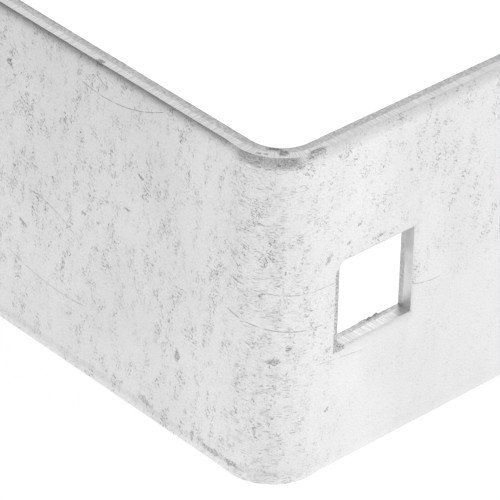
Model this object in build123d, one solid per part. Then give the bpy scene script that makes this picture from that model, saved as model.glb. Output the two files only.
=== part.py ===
"""Angle bracket: one length of galvanised steel strip, punched with a square bolt hole and
folded to a right angle. It stands on the long edges of its two legs.

Frame: +Z runs up across the strip's width, and Z = 0 is the surface that the bracket stands
on. The origin is under the middle of the bounding box. The bolted leg runs along X with its
outer face towards -Y, the plain leg runs along Y with its outer face towards -X, and the
outside of the fold points towards (-X, -Y).
"""
import os

from build123d import *

# Driving dimensions, in millimetres.
STRIP_WIDTH = 40.0
THICKNESS = 2.0
LEG_LENGTH = 60.0  # each leg, from the outside of the fold to its end
INNER_BEND_RADIUS = 4.0
HOLE_SIDE = 10.5  # takes the 10 mm square neck of an M10 carriage bolt
HOLE_FROM_OUTSIDE = 14.5  # the hole's centre, from the plain leg's outer face
WORN_CORNER_RADIUS = 0.8  # the hole's upper corner nearest the fold; the other three are sharp

# Shear and punch both cut in from the outer face, and roll its edge over into a lip.
SHEARED_LIP_WIDTH = 2.0
SHEARED_LIP_DEPTH = 0.25
PUNCHED_LIP_WIDTH = 1.0
PUNCHED_LIP_DEPTH = 0.18

# Worked out from the driving dimensions.
OUTER_BEND_RADIUS = INNER_BEND_RADIUS + THICKNESS
OUTER_FACE = -LEG_LENGTH / 2
LEG_END = OUTER_FACE + LEG_LENGTH
BEND_CENTRE = OUTER_FACE + OUTER_BEND_RADIUS
HOLE_CENTRE_X = OUTER_FACE + HOLE_FROM_OUTSIDE
HALF_HOLE = HOLE_SIDE / 2


def lip_loss(width, depth):
    """What a rolled-over lip takes off a square edge: x is depth below the outer face, and y is
    the distance into the metal from the cut wall. The lip is steepest at the wall and fades
    out, as a cubic, into the face."""
    curve = Bezier((depth, 0), (0, width / 3), (0, width * 2 / 3), (0, width))
    return make_face([curve, Line((0, width), (0, 0)), Line((0, 0), (depth, 0))])


def strip_section():
    """Cross-section of the strip: x is depth below the outer face, and y is across the width."""
    blank = Rectangle(THICKNESS, STRIP_WIDTH, align=(Align.MIN, Align.MIN))
    lower_loss = lip_loss(SHEARED_LIP_WIDTH, SHEARED_LIP_DEPTH)
    upper_loss = mirror(lower_loss, about=Plane.XZ.offset(-STRIP_WIDTH / 2))
    return blank - lower_loss - upper_loss


def half_bracket():
    """The leg along X, up to the middle of the fold."""
    bend_start = Plane(origin=(BEND_CENTRE, OUTER_FACE, 0), x_dir=(0, 1, 0), z_dir=(1, 0, 0))
    section = bend_start * strip_section()
    leg = extrude(section, LEG_END - BEND_CENTRE)
    half_fold = revolve(section, Axis((BEND_CENTRE, BEND_CENTRE, 0), (0, 0, 1)), -45)
    end_edge = Plane(origin=(LEG_END, OUTER_FACE, 0), x_dir=(0, 1, 0), z_dir=(0, 0, 1))
    end_loss = extrude(end_edge * lip_loss(SHEARED_LIP_WIDTH, SHEARED_LIP_DEPTH), STRIP_WIDTH)
    return leg + half_fold - end_loss


def punched_lip(corner_radius, next_corner_radius):
    """The rolled lip down the +X side of the hole and round the corner that the side starts at."""
    corner_centre = HALF_HOLE - corner_radius
    side_start = Plane(origin=(HALF_HOLE, 0, corner_centre), x_dir=(0, 1, 0), z_dir=(0, 0, -1))
    loss = side_start * lip_loss(PUNCHED_LIP_WIDTH, PUNCHED_LIP_DEPTH)
    side = extrude(loss, HOLE_SIDE - corner_radius - next_corner_radius)
    return side + revolve(loss, Axis((corner_centre, 0, corner_centre), (0, 1, 0)), -90)


def square_punch():
    """All the metal that punching the square hole takes out or rolls over. The hole's centre is
    the origin, and the punch goes in along +Y from the outer face at Y = 0."""
    square = Box(HOLE_SIDE, THICKNESS, HOLE_SIDE, align=(Align.CENTER, Align.MIN, Align.CENTER))
    worn_edge = square.edges().filter_by(Axis.Y).sort_by(Axis.X)[:2].sort_by(Axis.Z)[-1]
    slug = fillet(worn_edge, WORN_CORNER_RADIUS)
    corner_radii = (0, 0, 0, WORN_CORNER_RADIUS)
    for turn in range(4):
        lip = punched_lip(corner_radii[turn], corner_radii[(turn + 1) % 4])
        slug += Rot(0, 90 * turn, 0) * lip
    return slug


def angle_bracket():
    """The folded strip with its hole."""
    half = half_bracket()
    folded = half + mirror(half, about=Plane(origin=(0, 0, 0), z_dir=(1, -1, 0)))
    return folded - Pos(HOLE_CENTRE_X, OUTER_FACE, STRIP_WIDTH / 2) * square_punch()


os.makedirs("parts", exist_ok=True)
bracket = angle_bracket()
export_step(bracket, "parts/angle_bracket.step")
print("volume", bracket.volume, "valid", bracket.is_valid, bracket.bounding_box())
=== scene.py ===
"""Looks of the angle bracket: the strip is sheared, punched and folded as the real one is, then
given its zinc finish, and stood on a pale lit table."""
from math import cos, pi, radians, sin

import bmesh
import bpy
from mathutils import Matrix, Quaternion, Vector, noise

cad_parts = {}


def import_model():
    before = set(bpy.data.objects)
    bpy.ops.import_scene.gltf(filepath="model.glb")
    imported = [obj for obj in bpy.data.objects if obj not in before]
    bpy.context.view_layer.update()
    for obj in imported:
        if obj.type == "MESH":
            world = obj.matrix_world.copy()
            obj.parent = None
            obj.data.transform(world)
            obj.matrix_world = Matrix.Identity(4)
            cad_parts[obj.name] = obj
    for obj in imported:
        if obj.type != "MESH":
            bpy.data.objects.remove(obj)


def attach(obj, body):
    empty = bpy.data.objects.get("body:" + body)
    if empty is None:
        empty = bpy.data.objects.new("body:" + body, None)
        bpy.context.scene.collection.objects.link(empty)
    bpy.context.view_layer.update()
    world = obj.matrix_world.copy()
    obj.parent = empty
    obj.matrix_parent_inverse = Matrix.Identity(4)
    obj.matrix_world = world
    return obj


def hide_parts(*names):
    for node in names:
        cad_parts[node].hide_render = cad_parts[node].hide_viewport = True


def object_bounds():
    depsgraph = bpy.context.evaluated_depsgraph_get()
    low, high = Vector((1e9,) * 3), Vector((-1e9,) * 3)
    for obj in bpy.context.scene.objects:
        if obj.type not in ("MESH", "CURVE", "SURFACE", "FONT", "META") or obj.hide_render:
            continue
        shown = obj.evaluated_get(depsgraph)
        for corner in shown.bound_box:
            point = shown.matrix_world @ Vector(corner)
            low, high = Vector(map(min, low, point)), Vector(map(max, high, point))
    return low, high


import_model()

MM = 0.001
cad_low, cad_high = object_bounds()

# The strip, in millimetres. Its own coordinates are "along" it, 0 at the middle of the fold and
# positive on the bolted leg; "across" its width, 0 at the edge that it stands on; and "depth"
# below its outer face. A lip is (width, depth at the cut).
WIDTH = (cad_high.z - cad_low.z) / MM
LEG = (cad_high.x - cad_low.x) / MM
OUTER_FACE = cad_low.x / MM
THICKNESS = 2.0
OUTER_BEND_RADIUS = 6.0
BEND_CENTRE = OUTER_FACE + OUTER_BEND_RADIUS
HALF_FOLD = OUTER_BEND_RADIUS * pi / 4
STRIP_END = HALF_FOLD + LEG - OUTER_BEND_RADIUS
HOLE_SIDE = 10.5
HOLE_FROM_OUTSIDE = 14.5
HOLE_ALONG = HALF_FOLD + HOLE_FROM_OUTSIDE - OUTER_BEND_RADIUS
HOLE_ACROSS = WIDTH / 2
HOLE_LEFT, HOLE_RIGHT = HOLE_ALONG - HOLE_SIDE / 2, HOLE_ALONG + HOLE_SIDE / 2
HOLE_FOOT, HOLE_TOP = HOLE_ACROSS - HOLE_SIDE / 2, HOLE_ACROSS + HOLE_SIDE / 2
SHEARED_LIP = (1.7, 0.22)
PUNCHED_LIP = (0.8, 0.14)
FOLD_FLATTENS, FOLD_REACH = 0.75, 1.5
SHEARED_LAND_DEPTH = 1.1
PUNCHED_LAND_DEPTH = 1.35
WORN_CORNER_RADIUS, WORN_CORNER_REACH = 0.8, 1.5
BURR_ALONG, BURR_REACH, BURR_HEIGHT = 14.3, 2.2, 0.3
WALL_ROWS = 12
FINE_STEP, COARSE_STEP = 0.35, 1.4
ON_EDGE = 1e-4
SHARP_EDGE = radians(35)


def lip_stops(width, count=8):
    """Distances from a cut edge that follow the curve of its lip, closest together at the edge."""
    return [width * (k / count) ** 1.6 for k in range(count + 1)]


def fill(start, stop, step):
    """Evenly spaced positions between start and stop, both left out."""
    count = max(1, round((stop - start) / step))
    return [start + (stop - start) * k / count for k in range(1, count)]


def grid_stations(low, high, hole_centre, middle_step):
    """Grid lines from one cut edge to the other, close together at every lip."""
    hole_low, hole_high = hole_centre - HOLE_SIDE / 2, hole_centre + HOLE_SIDE / 2
    outer, inner = lip_stops(SHEARED_LIP[0]), lip_stops(PUNCHED_LIP[0], 5)
    stations = [low + d for d in outer]
    stations += fill(stations[-1], hole_low - PUNCHED_LIP[0], middle_step)
    stations += [hole_low - d for d in reversed(inner)]
    stations += fill(hole_low, hole_high, FINE_STEP)
    stations += [hole_high + d for d in inner]
    stations += fill(stations[-1], high - SHEARED_LIP[0], middle_step)
    stations += [high - d for d in reversed(outer)]
    return stations


def strip_grid():
    """The flat blank's outer face as a grid with the square hole left open, in strip millimetres."""
    columns = grid_stations(-STRIP_END, STRIP_END, HOLE_ALONG, FINE_STEP)
    rows = grid_stations(0, WIDTH, HOLE_ACROSS, COARSE_STEP)
    bm = bmesh.new()
    bmesh.ops.create_grid(bm, x_segments=len(columns) - 1, y_segments=len(rows) - 1, size=0.5)
    for v in bm.verts:
        column = round((v.co.x + 0.5) * (len(columns) - 1))
        row = round((v.co.y + 0.5) * (len(rows) - 1))
        v.co = columns[column], rows[row], 0
    punched = [f for f in bm.faces if in_hole(f.calc_center_median())]
    bmesh.ops.delete(bm, geom=punched, context="FACES")
    return bm


def in_hole(p):
    return HOLE_LEFT < p.x < HOLE_RIGHT and HOLE_FOOT < p.y < HOLE_TOP


def from_outline(p):
    """Distance from the nearest sheared edge of the strip."""
    return max(0.0, min(p.y, WIDTH - p.y, STRIP_END - abs(p.x)))


def from_hole(p):
    """Distance from the punched hole's outline, round its corners."""
    beyond_x = max(0.0, abs(p.x - HOLE_ALONG) - HOLE_SIDE / 2)
    beyond_y = max(0.0, abs(p.y - HOLE_ACROSS) - HOLE_SIDE / 2)
    return (beyond_x ** 2 + beyond_y ** 2) ** 0.5


def lip_depth(p):
    """How far the outer face has been rolled down at p. Folding has stretched the outer face and
    pulled most of the sheared edge's lip flat again."""
    flattened = FOLD_FLATTENS * max(0.0, 1 - (abs(p.x) / (HALF_FOLD + FOLD_REACH)) ** 4)
    sheared, punched = from_outline(p) / SHEARED_LIP[0], from_hole(p) / PUNCHED_LIP[0]
    sheared_loss = SHEARED_LIP[1] * (1 - flattened) * max(0.0, 1 - sheared) ** 3
    return max(sheared_loss, PUNCHED_LIP[1] * max(0.0, 1 - punched) ** 3)


def round_worn_corner(p):
    """Moves p, near the hole's upper corner nearest the fold, to round that corner off."""
    centre = Vector((HOLE_LEFT + WORN_CORNER_RADIUS, HOLE_TOP - WORN_CORNER_RADIUS, p.z))
    spoke = p - centre
    if spoke.x > 0 or spoke.y < 0:
        return p
    square = max(-spoke.x, spoke.y)
    if square < 1e-6:
        return p
    on_outline = centre + spoke * (WORN_CORNER_RADIUS / spoke.length)
    outline_square = spoke * (WORN_CORNER_RADIUS / square)
    shift = on_outline - centre - outline_square
    fade = max(0.0, 1 - (square - WORN_CORNER_RADIUS) / WORN_CORNER_REACH)
    return p + shift * fade ** 2


def thicken(bm):
    """Gives the blank its thickness, with rows of faces down every cut wall. Until shear_walls, z
    is the share of the way through the sheet. Finishes are 0 face, 1 land and 2 fracture."""
    outer = list(bm.faces)
    made = bmesh.ops.extrude_face_region(bm, geom=outer)
    below = {v for v in made["geom"] if isinstance(v, bmesh.types.BMVert)}
    for v in below:
        v.co.z = 1.0
    uprights = [e for e in bm.edges if (e.verts[0] in below) != (e.verts[1] in below)]
    bmesh.ops.subdivide_edges(bm, edges=uprights, cuts=WALL_ROWS - 1, use_grid_fill=True)
    for f in bm.faces:
        share = f.calc_center_median().z
        f.material_index = 0 if share in (0, 1) else 1 if share < 0.5 else 2


def into_metal(p):
    """Unit direction from a cut wall at p into the metal, along the flat blank."""
    if from_hole(p) < ON_EDGE:
        x = (abs(p.x - HOLE_RIGHT) < ON_EDGE) - (abs(p.x - HOLE_LEFT) < ON_EDGE)
        y = (abs(p.y - HOLE_TOP) < ON_EDGE) - (abs(p.y - HOLE_FOOT) < ON_EDGE)
    else:
        x = (p.x + STRIP_END < ON_EDGE) - (STRIP_END - p.x < ON_EDGE)
        y = (p.y < ON_EDGE) - (WIDTH - p.y < ON_EDGE)
    return Vector((x, y, 0)).normalized()


def burr(p):
    """How far the ragged burr on the hole's lower inner edge stands up at p."""
    ragged = max(0.0, 0.35 + 1.3 * noise.noise(p * 4.3))
    return BURR_HEIGHT * ragged * max(0.0, 1 - abs(p.x - BURR_ALONG) / BURR_REACH) ** 0.5


def shear_walls(bm):
    """Shapes lips and cut walls: clean-cut land near the outer face, torn fracture below it."""
    for v in bm.verts:
        share = v.co.z
        flat = Vector((v.co.x, v.co.y, 0))
        start = lip_depth(flat)
        punched = from_hole(flat) < ON_EDGE
        on_wall = punched or from_outline(flat) < ON_EDGE
        if not on_wall or share == 0:
            v.co.z = start if share == 0 else share * THICKNESS
            continue
        land_end = PUNCHED_LAND_DEPTH if punched else SHEARED_LAND_DEPTH
        land_end += 0.1 * noise.noise(flat * 0.9) + 0.07 * noise.noise(flat * 5)
        if share <= 0.5:
            v.co.z = start + (land_end - start) * share * 2
            sunk = 0.008 * (1 + noise.noise(flat * 3.1))
        else:
            torn = share * 2 - 1
            v.co.z = land_end + (THICKNESS - land_end) * torn
            here = Vector((v.co.x, v.co.y, v.co.z))
            rough = 0.5 + 0.5 * noise.fractal(here * 2.2, 0.9, 2.1, 4)
            sunk = 0.02 + 0.07 * rough * min(1.0, 4 * torn)
            if share == 1:
                sunk *= 0.4
            if share > 0.9 and punched and flat.y < HOLE_FOOT + ON_EDGE:
                sunk -= burr(flat)
        v.co += into_metal(flat) * sunk


def fold(p):
    """Where a point of the flat blank goes once the strip is folded."""
    turn = max(-HALF_FOLD, min(HALF_FOLD, p.x)) / OUTER_BEND_RADIUS
    heading = radians(225) + turn
    radius = OUTER_BEND_RADIUS - p.z
    x = BEND_CENTRE + radius * cos(heading)
    y = BEND_CENTRE + radius * sin(heading)
    past_fold = abs(p.x) - HALF_FOLD
    if past_fold > 0 and p.x > 0:
        x += past_fold
    elif past_fold > 0:
        y += past_fold
    return Vector((x, y, p.y))


def folded_strip():
    """The finished bracket as one closed mesh, with its strip coordinates kept for the finish."""
    bm = strip_grid()
    thicken(bm)
    shear_walls(bm)
    bmesh.ops.recalc_face_normals(bm, faces=bm.faces)
    strip = bm.verts.layers.float_vector.new("strip")
    for v in bm.verts:
        v.co = round_worn_corner(v.co)
        v[strip] = v.co
        v.co = fold(v.co) * MM
    bmesh.ops.recalc_face_normals(bm, faces=bm.faces)
    for f in bm.faces:
        f.smooth = True
    for e in bm.edges:
        e.smooth = e.calc_face_angle(0) < SHARP_EDGE
    mesh = bpy.data.meshes.new("folded_strip")
    bm.to_mesh(mesh)
    bm.free()
    piece = bpy.data.objects.new("folded_strip", mesh)
    bpy.context.scene.collection.objects.link(piece)
    return piece


# Materials

def linear(hex_colour):
    """An sRGB hex colour as linear RGBA."""
    channels = [int(hex_colour[i:i + 2], 16) / 255 for i in (1, 3, 5)]
    return [c / 12.92 if c <= 0.04045 else ((c + 0.055) / 1.055) ** 2.4 for c in channels] + [1]


def add(tree, kind, inputs, out=0, **settings):
    """Adds a node, gives it its settings and its inputs (values or sockets), and returns an output."""
    node = tree.nodes.new("ShaderNode" + kind)
    for name, value in settings.items():
        setattr(node, name, value)
    for name, value in inputs.items():
        if isinstance(value, bpy.types.NodeSocket):
            tree.links.new(value, node.inputs[name])
        else:
            node.inputs[name].default_value = value
    return node.outputs[out]


def lumps(tree, size, turn=0, shift=0, detail=2, roughness=0.5):
    """Noise on the strip. size is a lump's size in mm (along, across, depth) before it is turned
    by turn degrees; the result runs from 0 to 1."""
    strip = add(tree, "Attribute", {}, 1, attribute_name="strip")
    placed = add(tree, "Mapping", {"Vector": strip, "Location": (shift, shift, 0), "Scale": size,
                                   "Rotation": (0, 0, radians(turn))}, vector_type="TEXTURE")
    return add(tree, "TexNoise", {"Vector": placed, "Scale": 1, "Detail": detail,
                                  "Roughness": roughness})


def rise(tree, value, start, stop, low=0, high=1):
    """low up to start, high from stop on, and smooth between."""
    return add(tree, "MapRange", {"Value": value, "From Min": start, "From Max": stop,
                                  "To Min": low, "To Max": high}, interpolation_type="SMOOTHSTEP")


def times(tree, *values):
    """The product of the values; of masks, the place where all of them are 1."""
    result = values[0]
    for value in values[1:]:
        result = add(tree, "Math", {0: result, 1: value}, operation="MULTIPLY")
    return result


def strongest(tree, *values):
    """The largest of the values; of masks, the place where any of them is 1."""
    result = values[0]
    for value in values[1:]:
        result = add(tree, "Math", {0: result, 1: value}, operation="MAXIMUM")
    return result


def strip_position(tree):
    """Sockets for along, across and depth, in mm."""
    strip = add(tree, "Attribute", {}, 1, attribute_name="strip")
    return [add(tree, "SeparateXYZ", {0: strip}, k) for k in range(3)]


def away(tree, value, centre):
    """How far value is from centre."""
    offset = add(tree, "Math", {0: value, 1: centre}, operation="SUBTRACT")
    return add(tree, "Math", {0: offset}, operation="ABSOLUTE")


def between(tree, value, start, stop, soft):
    """1 from start to stop, fading to 0 over soft mm beyond them."""
    half = (stop - start) / 2
    return rise(tree, away(tree, value, (start + stop) / 2), half, half + soft, 1, 0)


def shade(tree, tone, mask, strength):
    """Darkens tone by strength wherever mask is 1."""
    kept = add(tree, "Math", {0: mask, 1: -strength, 2: 1}, operation="MULTIPLY_ADD")
    return times(tree, tone, kept)


def scratch(tree, start, stop, sag, width):
    """A thin scratch from start to stop, (along, across) in mm, that sags by sag at its middle."""
    along, across, depth = strip_position(tree)
    share = add(tree, "MapRange", {"Value": along, "From Min": start[0], "From Max": stop[0]},
                clamp=False)
    straight = add(tree, "MapRange", {"Value": share, "To Min": start[1], "To Max": stop[1]},
                   clamp=False)
    bow = add(tree, "Math", {0: away(tree, share, 0.5), 1: 2}, operation="POWER")
    drop = add(tree, "Math", {0: bow, 1: 4 * sag, 2: -sag}, operation="MULTIPLY_ADD")
    line = add(tree, "Math", {0: straight, 1: drop}, operation="ADD")
    offset = add(tree, "Math", {0: across, 1: line}, operation="SUBTRACT")
    distance = add(tree, "Math", {0: offset}, operation="ABSOLUTE")
    on_line = rise(tree, distance, width * 0.3, width, 1, 0)
    in_reach = between(tree, share, 0.03, 0.97, 0.04)
    broken = rise(tree, lumps(tree, (1.1, 1.1, 1), shift=start[1]), 0.38, 0.5, 0.25, 1)
    outside = rise(tree, depth, 0.5, 1, 1, 0)
    return times(tree, on_line, in_reach, broken, outside)


def pits(tree, table):
    """Rough-edged pits and lumps of dirt, each its place and its size, (along, across, depth) in
    mm, and how far it is turned on the face, in degrees."""
    strip = add(tree, "Attribute", {}, 1, attribute_name="strip")
    ragged = add(tree, "TexNoise", {"Vector": strip, "Scale": 2.2, "Detail": 3}, 1)
    pushed = add(tree, "VectorMath", {0: ragged, 1: (1.1, 1.1, 0), 2: (-0.55, -0.55, 0)},
                 operation="MULTIPLY_ADD")
    moved = add(tree, "VectorMath", {0: strip, 1: pushed}, operation="ADD")
    nearest = 9.0
    for place, size, turn in table:
        local = add(tree, "Mapping", {"Vector": moved, "Location": place, "Scale": size,
                                      "Rotation": (0, 0, radians(turn))}, vector_type="TEXTURE")
        distance = add(tree, "VectorMath", {0: local}, 1, operation="LENGTH")
        nearest = add(tree, "Math", {0: distance, 1: nearest}, operation="MINIMUM")
    return rise(tree, nearest, 0.3, 0.62, 1, 0)


def new_metal(name):
    material = bpy.data.materials.new(name)
    material.use_nodes = True
    tree = material.node_tree
    shader = tree.nodes["Principled BSDF"]
    shader.inputs["Metallic"].default_value = 1.0
    return material, tree, shader


def finish_metal(tree, shader, colour, tone, roughness, height, deep):
    """Joins the tone, roughness and relief (height times deep mm) to the metal."""
    tinted = add(tree, "VectorMath", {0: linear(colour)[:3], "Scale": tone}, operation="SCALE")
    tree.links.new(tinted, shader.inputs["Base Color"])
    tree.links.new(roughness, shader.inputs["Roughness"])
    relief = add(tree, "Bump", {"Height": height, "Distance": deep * MM})
    tree.links.new(relief, shader.inputs["Normal"])


# Marks, in strip millimetres and degrees. A scratch's places are (along, across); the other
# tables give each mark's place and size as (along, across, depth), and its turn.
SCRATCHES = (  # start, stop, sag, width
    ((-5.6, 20.4), (7.8, 18.6), 0.3, 0.07),
    ((-5.3, 24.6), (7.8, 23.2), 0.3, 0.05),
    ((18.5, 18.2), (22.5, 17.5), 0.2, 0.06),
    ((5.0, 14.0), (11.5, 13.0), 0.0, 0.05),
    ((-29.0, 36.8), (-15.5, 38.9), 1.3, 0.05),
    ((-26.0, 38.6), (-24.2, 37.6), 0.1, 0.06),
    ((-37.0, 19.2), (-29.5, 17.2), -0.6, 0.05),
    ((-40.5, 10.0), (-27.5, 9.0), 0.8, 0.04),
)
PITS = (
    ((-38.0, 14.5, 0), (1.5, 0.5, 1), -25), ((-40.0, 33.5, 0), (1.0, 0.5, 1), -35),
    ((-33.0, 22.5, 0), (0.8, 0.4, 1), -40), ((-19.0, 29.5, 0), (0.8, 0.4, 1), -35),
    ((-21.0, 24.5, 0), (0.9, 0.6, 1), 0), ((-28.0, 20.5, 0), (0.7, 0.4, 1), -20),
    ((6.3, 26.5, 0), (1.5, 0.6, 1), 50), ((9.0, 27.3, 0), (0.7, 0.45, 1), 30),
    ((13.6, 26.4, 0), (1.1, 0.45, 1), 0), ((10.5, 29.0, 0), (0.7, 0.4, 1), 60),
    ((17.4, 32.7, 0), (0.5, 0.35, 1), 0), ((13.5, 30.4, 0), (0.5, 0.4, 1), 0),
    ((6.7, 7.5, 0), (0.6, 0.4, 1), 30), ((-1.3, 23.5, 0), (0.8, 0.35, 1), 0),
    ((0.0, 15.5, 0), (1.8, 0.7, 1), 0), ((1.6, 17.0, 0), (0.6, 1.0, 1), 0),
    ((-13.0, 10.5, 0), (0.8, 1.6, 1), 0), ((7.3, 38.3, 0), (0.7, 0.5, 1), 0),
)
LIP_DIRT = (
    ((-18.0, 2.0, 0), (2.0, 0.9, 1), -10), ((-7.5, 1.4, 0), (3.2, 0.8, 1), 0),
    ((-10.4, 1.5, 0), (0.5, 1.5, 1), 0), ((-4.4, 1.4, 0), (2.2, 0.7, 1), 0),
    ((4.2, 39.9, 0), (2.6, 1.0, 1), 15), ((-1.0, 38.6, 0), (0.9, 0.4, 1), 0),
    ((2.2, 38.8, 0), (0.9, 0.4, 1), 0), ((0.0, 39.2, 0), (0.5, 0.5, 1), 0),
    ((-25.8, 39.8, 0), (1.2, 0.6, 1), 0),
)
EDGE_STAINS = (
    ((-0.6, 40, 1.7), (2.6, 1, 0.5), 0), ((0.6, 40, 1.0), (1.4, 1, 1.2), 0),
    ((4.4, 40, 0.3), (2.4, 1, 0.8), 0), ((-2.2, 40, 0.5), (0.5, 1, 0.45), 0),
    ((-1.4, 40, 0.6), (0.4, 1, 0.35), 0), ((-25.8, 40, 0.4), (1.1, 1, 0.7), 0),
    ((14.3, 15, 2.0), (2.0, 1, 0.5), 0), ((8.3, 14.8, 1.0), (1.1, 1, 2.4), 0),
)


def pin_pricks(tree, along, across):
    """Ragged drifts across the strip, and the dark pin-pricks and short scuffs that gather in them.
    There are fewest low on the bolted leg."""
    drift = rise(tree, lumps(tree, (1.3, 3.4, 9), turn=-10, detail=4, roughness=0.7), 0.45, 0.63)
    clean = times(tree, rise(tree, along, 1, 12), rise(tree, across, 24, 14, 0, 0.65))
    busy = rise(tree, clean, 0, 1, 1, 0)
    pricks = rise(tree, lumps(tree, (0.17, 0.3, 1), turn=-25), 0.585, 0.66)
    scuffs = rise(tree, lumps(tree, (0.14, 0.8, 1), turn=38, shift=7), 0.6, 0.68)
    cross_scuffs = rise(tree, lumps(tree, (0.8, 0.14, 1), turn=-22, shift=9), 0.6, 0.68)
    marks = strongest(tree, pricks, scuffs, times(tree, cross_scuffs, 0.9))
    few = rise(tree, lumps(tree, (6, 9, 9), shift=13), 0.36, 0.6, 0.45, 1)
    marks = times(tree, marks, rise(tree, drift, 0, 1, 0.2, 1), busy, few)
    return marks, times(tree, drift, busy)


def die_lines(tree, along):
    """Fine lines round the fold, and the patches that they are strongest in."""
    lines = rise(tree, lumps(tree, (0.9, 0.11, 9), detail=4, shift=3), 0.53, 0.68)
    patches = rise(tree, lumps(tree, (2.0, 1.6, 9), detail=4, shift=11), 0.42, 0.6)
    fold_zone = between(tree, along, -3.8, 3.0, 2.5)
    return times(tree, lines, fold_zone, rise(tree, patches, 0, 1, 0.22, 1)), patches


def darken_lips(tree, tone, along, across, outside, grime):
    """Darkens tone where dirt has caught in the lip over the fold and along the upper edge, and in a
    faint line along the lower edge."""
    wavy = add(tree, "Math", {0: lumps(tree, (0.8, 0.8, 9), detail=3, shift=2), 1: 0.9, 2: across},
               operation="MULTIPLY_ADD")
    over_fold = times(tree, rise(tree, wavy, WIDTH - 1, WIDTH - 0.85),
                      rise(tree, wavy, WIDTH - 1.2, WIDTH - 0.2, 0.25, 1),
                      between(tree, along, -4.0, 1.5, 1.5), rise(tree, grime, 0.15, 1, 0.65, 1))
    bolted_leg = times(tree, rise(tree, wavy, WIDTH - 1.4, WIDTH - 0.1),
                       between(tree, along, 2.0, 60, 3.0))
    # a faint darker line along the lower edge, strongest on the leg without the hole
    foot = times(tree, between(tree, wavy, 1.7, 2.0, 0.5), rise(tree, along, -2, 6, 1, 0.2))
    for place, strength in ((over_fold, 0.46), (bolted_leg, 0.13), (foot, 0.07)):
        tone = shade(tree, tone, times(tree, place, outside), strength)
    return tone


def darken_round_hole(tree, tone, along, across, outside, grime):
    """Darkens tone down the hole's side nearest the fold, and paints shade just below the hole."""
    beside = times(tree, between(tree, along, HOLE_LEFT - 0.55, HOLE_LEFT + 1, 0.12),
                   between(tree, across, HOLE_FOOT - 0.3, HOLE_ACROSS + 4.3, 0.3), grime)
    # painted shade: a thin band below the hole stands in for the dark reflection in its rolled lip
    below = times(tree, between(tree, along, HOLE_LEFT, HOLE_RIGHT, 0.5),
                  rise(tree, across, HOLE_FOOT - 1.3, HOLE_FOOT),
                  rise(tree, across, HOLE_ACROSS, HOLE_ACROSS + 1, 1, 0))
    tone = shade(tree, tone, times(tree, beside, outside), 0.5)
    return shade(tree, tone, times(tree, below, outside), 0.06)


def zinc_face():
    """Matt galvanised zinc, pale grey with a faint grain. Dark pin-pricks gather in ragged drifts
    across the strip, with short scuffs; the fold has fine lines round it from the die; dirt has
    caught in the lips, and shade is painted just below the hole."""
    material, tree, shader = new_metal("galvanised_zinc")
    along, across, depth = strip_position(tree)
    outside = rise(tree, depth, 0.6, 1, 1, 0)
    grain = rise(tree, lumps(tree, (0.2, 0.2, 1), detail=3), 0.25, 0.75, 0.95, 1.05)
    tone = times(tree, rise(tree, lumps(tree, (9, 14, 9), detail=3), 0.3, 0.7, 0.98, 1.03), grain)
    pricks, drifts = pin_pricks(tree, along, across)
    tone = shade(tree, tone, pricks, 0.48)
    tone = shade(tree, tone, drifts, 0.015)
    # handling has dulled the legs a little, away from the fold
    tone = shade(tree, tone, rise(tree, away(tree, along, 1.0), 9, 17), 0.05)
    lines, patches = die_lines(tree, along)
    tone = shade(tree, tone, lines, 0.32)
    # the middle of the fold has rubbed on the die and is duller
    rubbed = times(tree, between(tree, along, -1.0, 0.0, 1.2), rise(tree, patches, 0, 1, 0.3, 1))
    tone = shade(tree, tone, rubbed, 0.05)
    scratches = strongest(tree, *[scratch(tree, *one) for one in SCRATCHES])
    tone = shade(tree, tone, scratches, 0.26)
    pitted = pits(tree, PITS)
    grime = rise(tree, lumps(tree, (0.2, 0.2, 1), detail=3, shift=5), 0.4, 0.58, 0.15, 1)
    tone = shade(tree, tone, times(tree, pitted, grime), 0.42)
    tone = shade(tree, tone, times(tree, pits(tree, LIP_DIRT), grime), 0.45)
    tone = darken_lips(tree, tone, along, across, outside, grime)
    tone = darken_round_hole(tree, tone, along, across, outside, grime)
    marks = strongest(tree, pricks, times(tree, lines, 0.6), scratches, pitted)
    roughness = add(tree, "Math", {0: marks, 1: 0.15, 2: 0.47}, operation="MULTIPLY_ADD")
    finish_metal(tree, shader, "#eeeeee", tone, roughness, times(tree, marks, -1), 0.02)
    return material


def paler_below(tree, across):
    """The upper long edge is the dullest cut; the hole's walls and the lower edge are paler."""
    return rise(tree, across, WIDTH - 10, WIDTH - 2, 1.25, 1)


def edge_stains(tree, least):
    """Stains on the cut edges, mottled; least is how strong the mottling's palest parts are."""
    grime = rise(tree, lumps(tree, (0.2, 0.2, 0.2), detail=3, shift=5), 0.36, 0.55, least, 1)
    return times(tree, pits(tree, EDGE_STAINS), grime)


def sheared_land():
    """Bright steel that the blade or punch has burnished, with fine lines straight down the cut.
    A few stains lie over the fold, and at the hole's lower edge."""
    material, tree, shader = new_metal("sheared_land")
    along, across, depth = strip_position(tree)
    strip_end = rise(tree, away(tree, along, 0), STRIP_END - 0.3, STRIP_END - 0.2)
    lines = add(tree, "Mix", {0: strip_end, 2: lumps(tree, (0.11, 4, 3.5)),
                              3: lumps(tree, (4, 0.11, 3.5))})
    broad = add(tree, "Mix", {0: strip_end, 2: lumps(tree, (0.6, 3, 2.5), shift=5),
                              3: lumps(tree, (3, 0.6, 2.5), shift=5)})
    tone = times(tree, rise(tree, lines, 0.36, 0.66, 0.82, 1.12),
                 rise(tree, broad, 0.3, 0.7, 0.9, 1.07), paler_below(tree, across))
    tone = shade(tree, tone, edge_stains(tree, 0.3), 0.62)
    roughness = rise(tree, broad, 0.3, 0.7, 0.35, 0.5)
    finish_metal(tree, shader, "#c8c8c8", tone, roughness, lines, 0.02)
    return material


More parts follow.
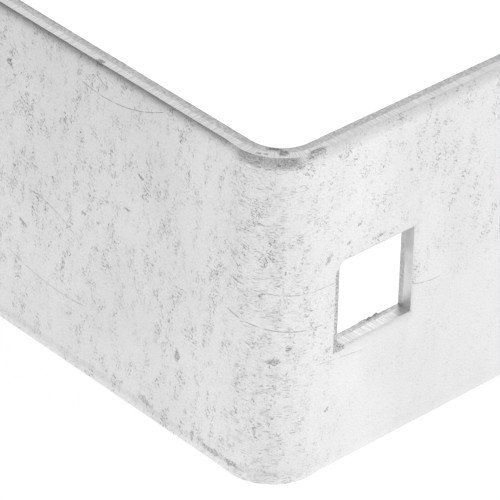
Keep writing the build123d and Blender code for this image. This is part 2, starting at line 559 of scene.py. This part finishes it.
def torn_fracture():
    """The torn half of the cut: dull, grainy and darker than the land."""
    material, tree, shader = new_metal("torn_fracture")
    grain = lumps(tree, (0.2, 0.2, 0.35), detail=4, roughness=0.65)
    across = strip_position(tree)[1]
    tone = times(tree, rise(tree, grain, 0.3, 0.7, 0.86, 1.08), paler_below(tree, across))
    tone = shade(tree, tone, edge_stains(tree, 0.4), 0.62)
    roughness = rise(tree, grain, 0.3, 0.7, 0.65, 0.5)
    finish_metal(tree, shader, "#c4c4c4", tone, roughness, grain, 0.04)
    return material


# Table, lights and camera

def new_grid(name, size):
    """A flat square mesh of the given size, with its bmesh still open."""
    bm = bmesh.new()
    bmesh.ops.create_grid(bm, x_segments=1, y_segments=1, size=size / 2)
    return bm, bpy.data.meshes.new(name)


def plain_sheet(bm, mesh, finish, colour):
    """Closes bm into an object with a plain material; returns the object and its shader."""
    bm.to_mesh(mesh)
    bm.free()
    thing = bpy.data.objects.new(mesh.name, mesh)
    bpy.context.scene.collection.objects.link(thing)
    material = bpy.data.materials.new(finish)
    material.use_nodes = True
    shader = material.node_tree.nodes["Principled BSDF"]
    shader.inputs["Base Color"].default_value = linear(colour)
    mesh.materials.append(material)
    return thing, shader


def table():
    """A sheet of opal acrylic lit from below, so that it is plain and pale with hardly a shadow."""
    top, shader = plain_sheet(*new_grid("light_table", 6), "opal_acrylic", "#606060")
    shader.inputs["Roughness"].default_value = 0.6
    shader.inputs["Emission Color"].default_value = (1, 1, 1, 1)
    shader.inputs["Emission Strength"].default_value = 0.96


def flag(name, heading, distance, width, height):
    """An upright black card that keeps light off one side; the camera doesn't see it."""
    bm, mesh = new_grid(name, 1)
    bmesh.ops.rotate(bm, verts=bm.verts, cent=(0, 0, 0), matrix=Matrix.Rotation(pi / 2, 3, "X"))
    bmesh.ops.scale(bm, verts=bm.verts, vec=(width, 1, height))
    bmesh.ops.translate(bm, verts=bm.verts, vec=(0, -distance, height / 2))
    card, _ = plain_sheet(bm, mesh, "black_card", "#202020")
    card.rotation_euler = (0, 0, radians(heading + 90))
    card.visible_camera = False


def softbox(name, toward, distance, size, power):
    """A square area light aimed at the bracket from the direction toward."""
    light = bpy.data.lights.new(name, "AREA")
    light.size = size
    light.energy = power
    lamp = bpy.data.objects.new(name, light)
    direction = Vector(toward).normalized()
    lamp.location = direction * distance
    lamp.rotation_mode = "QUATERNION"
    lamp.rotation_quaternion = direction.to_track_quat("Z", "Y")
    lamp.visible_camera = False
    bpy.context.scene.collection.objects.link(lamp)


def camera():
    """A long lens outside the fold, looking down at it across both legs, and slightly rolled."""
    heading, elevation, roll = radians(47.013), radians(33.49), radians(1.575)
    forward = Vector((cos(heading) * cos(elevation), sin(heading) * cos(elevation), -sin(elevation)))
    aim = Vector((-28.421, -24.709, 27.477)) * MM
    distance = 435.08 * MM
    lens = bpy.data.cameras.new("camera")
    lens.lens = 311.42
    lens.clip_start = 0.01
    body = bpy.data.objects.new("camera", lens)
    body.location = aim - forward * distance
    body.rotation_mode = "QUATERNION"
    body.rotation_quaternion = forward.to_track_quat("-Z", "Y") @ Quaternion((0, 0, 1), roll)
    bpy.context.scene.collection.objects.link(body)
    bpy.context.scene.camera = body


def world():
    """An even grey studio, which lights what the softboxes don't reach."""
    studio = bpy.data.worlds.new("studio")
    studio.use_nodes = True
    studio.node_tree.nodes["Background"].inputs["Color"].default_value = (0.4, 0.4, 0.4, 1)
    bpy.context.scene.world = studio


bracket = folded_strip()
for finish in (zinc_face(), sheared_land(), torn_fracture()):
    bracket.data.materials.append(finish)
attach(bracket, "root")
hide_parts("angle_bracket")
table()
world()
softbox("right_softbox", (0.65, -0.5, 0.75), 1.2, 1.3, 5.3)
softbox("back_softbox", (0.6, 0.6, 0.6), 1.2, 1.2, 4.6)
flag("left_flag", 138, 0.17, 0.45, 0.3)
flag("camera_flag", 223, 0.6, 0.34, 0.6)
camera()
bpy.context.scene.view_settings.view_transform = "Standard"
